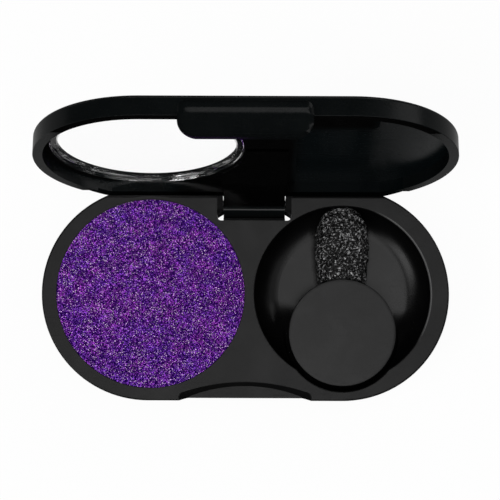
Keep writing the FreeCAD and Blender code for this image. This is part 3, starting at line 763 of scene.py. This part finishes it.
CAKE_RINGS = 84
CAKE_SPOKES = 320
CAKE_LAP = 0.09 * MM          # how far the loose edge of the cake reaches past the pan
CAKE_EDGE = 0.12 * MM         # height of that edge above the pan's rim
CAKE_TOP = 0.08 * MM          # what lies higher than this above the rim gets a grain
PAN_SHEET = 0.37 * MM         # the pan's wall with the gap to the cake
CAKE_SWELL = (3.0 * MM, 0.05 * MM)            # size and height of the top's unevenness
CAKE_GRAIN = (0.35 * MM, 0.06 * MM)           # and of its grain
CAKE_FACE = 0.8               # level of both that lies on the plain top
CREASE = math.radians(50)     # edges sharper than this stay sharp


def cake_profile():
    """Radius and height of the cake's section, from the middle of its underside to the middle of its top."""
    low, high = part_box("pressed_powder")
    pan_radius = (high.x - low.x) / 2
    radius = pan_radius + CAKE_LAP
    inside = pan_radius - PAN_SHEET
    rim_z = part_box("powder_pan")[1].z
    edge_z = rim_z + CAKE_EDGE
    points = [(0.0, low.z), (inside, low.z), (inside, rim_z), (radius, rim_z)]
    for ring in range(CAKE_RINGS + 1):
        share = 1 - ring / CAKE_RINGS
        points.append((radius * share, high.z - (high.z - edge_z) * share ** 2))
    return points


def make_powder_cake():
    """Pressed cake: a turned section that laps over the pan's rim, with an uneven, granular top."""
    axis = middle(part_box("pressed_powder"))
    axis.z = 0
    points = [axis + Vector((r, 0, z)) for r, z in cake_profile()]
    bpy.ops.mesh.primitive_plane_add(size=1 * MM, location=(0, 0, 0))
    cake = bpy.context.object
    cake.name = "powder_cake"
    cake.data.name = "powder_cake"
    bpy.ops.object.mode_set(mode="EDIT")
    bpy.ops.mesh.select_all(action="SELECT")
    bpy.ops.mesh.merge(type="CENTER")
    bpy.ops.transform.translate(value=points[0])
    for here, there in zip(points, points[1:]):
        bpy.ops.mesh.extrude_region_move(TRANSFORM_OT_translate={"value": there - here})
    bpy.ops.mesh.select_all(action="SELECT")
    bpy.ops.mesh.spin(steps=CAKE_SPOKES, angle=math.tau, center=axis, axis=(0, 0, 1))
    bpy.ops.mesh.select_all(action="SELECT")
    bpy.ops.mesh.remove_doubles(threshold=WELD)
    bpy.ops.mesh.normals_make_consistent(inside=False)
    bpy.ops.object.mode_set(mode="OBJECT")
    top_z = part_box("powder_pan")[1].z + CAKE_TOP
    top = cake.vertex_groups.new(name="top")
    top.add([v.index for v in cake.data.vertices if v.co.z > top_z], 1.0, "REPLACE")
    grain = wrinkle_texture("powder_grains", "CLOUDS", CAKE_GRAIN[0], noise_depth=3)
    swell = wrinkle_texture("powder_swell", "CLOUDS", CAKE_SWELL[0], noise_depth=1)
    for texture, height in ((swell, CAKE_SWELL[1]), (grain, CAKE_GRAIN[1])):
        finish_modifier(cake, "DISPLACE", texture=texture, texture_coords="LOCAL", direction="Z",
                        vertex_group="top", strength=height, mid_level=CAKE_FACE)
    bpy.ops.object.shade_smooth_by_angle(angle=CREASE)
    paint(cake, powder_finish())
    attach(cake, "base")
    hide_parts("pressed_powder")


# Stage

def place_camera():
    bpy.ops.object.camera_add(location=CAMERA_PLACE, rotation=(CAMERA_TILT, 0, CAMERA_ROLL))
    camera = bpy.context.object
    camera.data.sensor_width = SENSOR_WIDTH
    camera.data.lens = CAMERA_LENS
    camera.data.clip_start = CLIP_START
    bpy.context.scene.camera = camera


def hang_soft_box(name, place, width, height, strength):
    """Rectangular lamp of a given radiance; the camera doesn't see the lamp itself."""
    turn = (-place).to_track_quat("-Z", "Y").to_euler()
    bpy.ops.object.light_add(type="AREA", location=place, rotation=turn)
    lamp = bpy.context.object
    lamp.name = name
    lamp.data.shape = "RECTANGLE"
    lamp.data.size = width
    lamp.data.size_y = height
    lamp.data.energy = strength * math.pi * width * height
    lamp.visible_camera = False


def background_rays(tree):
    """Mask of the rays that should meet a white background, and mask of those that see it in gloss."""
    ray = knot(tree, "ShaderNodeLightPath").outputs
    return either(tree, ray["Is Camera Ray"], ray["Is Transmission Ray"]), ray["Is Glossy Ray"]


def lay_floor():
    """White table that keeps the palette's shadow."""
    bpy.ops.mesh.primitive_plane_add(size=FLOOR_SIZE)
    floor = bpy.context.object
    floor.name = "table"
    material, tree, shader = new_finish("white_table", Roughness=0.9, Specular_IOR_Level=0.0,
                                        Base_Color=(FLOOR_TONE, FLOOR_TONE, FLOOR_TONE, 1))
    seen, in_gloss = background_rays(tree)
    glow = knot(tree, "ShaderNodeEmission", {"Color": WHITE})
    pale = knot(tree, "ShaderNodeEmission", {"Color": WHITE, "Strength": FLOOR_IN_GLOSS})
    white = mix_shaders(tree, FLOOR_GLOW, shader.outputs[0], glow.outputs[0])
    surface = mix_shaders(tree, seen, shader.outputs[0], white)
    surface = mix_shaders(tree, in_gloss, surface, pale.outputs[0])
    tree.links.new(surface, tree.nodes["Material Output"].inputs["Surface"])
    paint(floor, material)


def light_room():
    """Dim world that the camera sees as white, and the soft boxes."""
    world = bpy.data.worlds.new("studio")
    bpy.context.scene.world = world
    world.use_nodes = True
    tree = world.node_tree
    dim = tree.nodes["Background"]
    dim.inputs["Color"].default_value = WHITE
    dim.inputs["Strength"].default_value = ROOM_LIGHT
    white = knot(tree, "ShaderNodeBackground", {"Color": WHITE, "Strength": 1.0})
    seen = mix_shaders(tree, background_rays(tree)[0], dim.outputs[0], white.outputs[0])
    tree.links.new(seen, tree.nodes["World Output"].inputs["Surface"])
    for name, box in SOFT_BOXES.items():
        hang_soft_box(name, *box)


bpy.ops.object.select_all(action="DESELECT")
place_camera()
light_room()
lay_floor()

tray_black = tray_finish()
for node, finish in {
    "base_tray": tray_black,
    "base_bottom": tray_black,
    "applicator_handle": handle_finish(),
    "lid_shell": lid_finish(),
    "lid_window": window_finish(),
    "powder_pan": metal_finish("pressed_aluminium", (0.75, 0.75, 0.76), (0.3, 0.45)),
    "hinge_pin": metal_finish("oiled_steel", (0.09, 0.09, 0.095), (0.40, 0.55)),
    "pan_adhesive": adhesive_finish(),
}.items():
    paint(frame["nodes"][node], finish)
make_sponge()
make_powder_cake()

bpy.context.scene.view_settings.view_transform = "Standard"
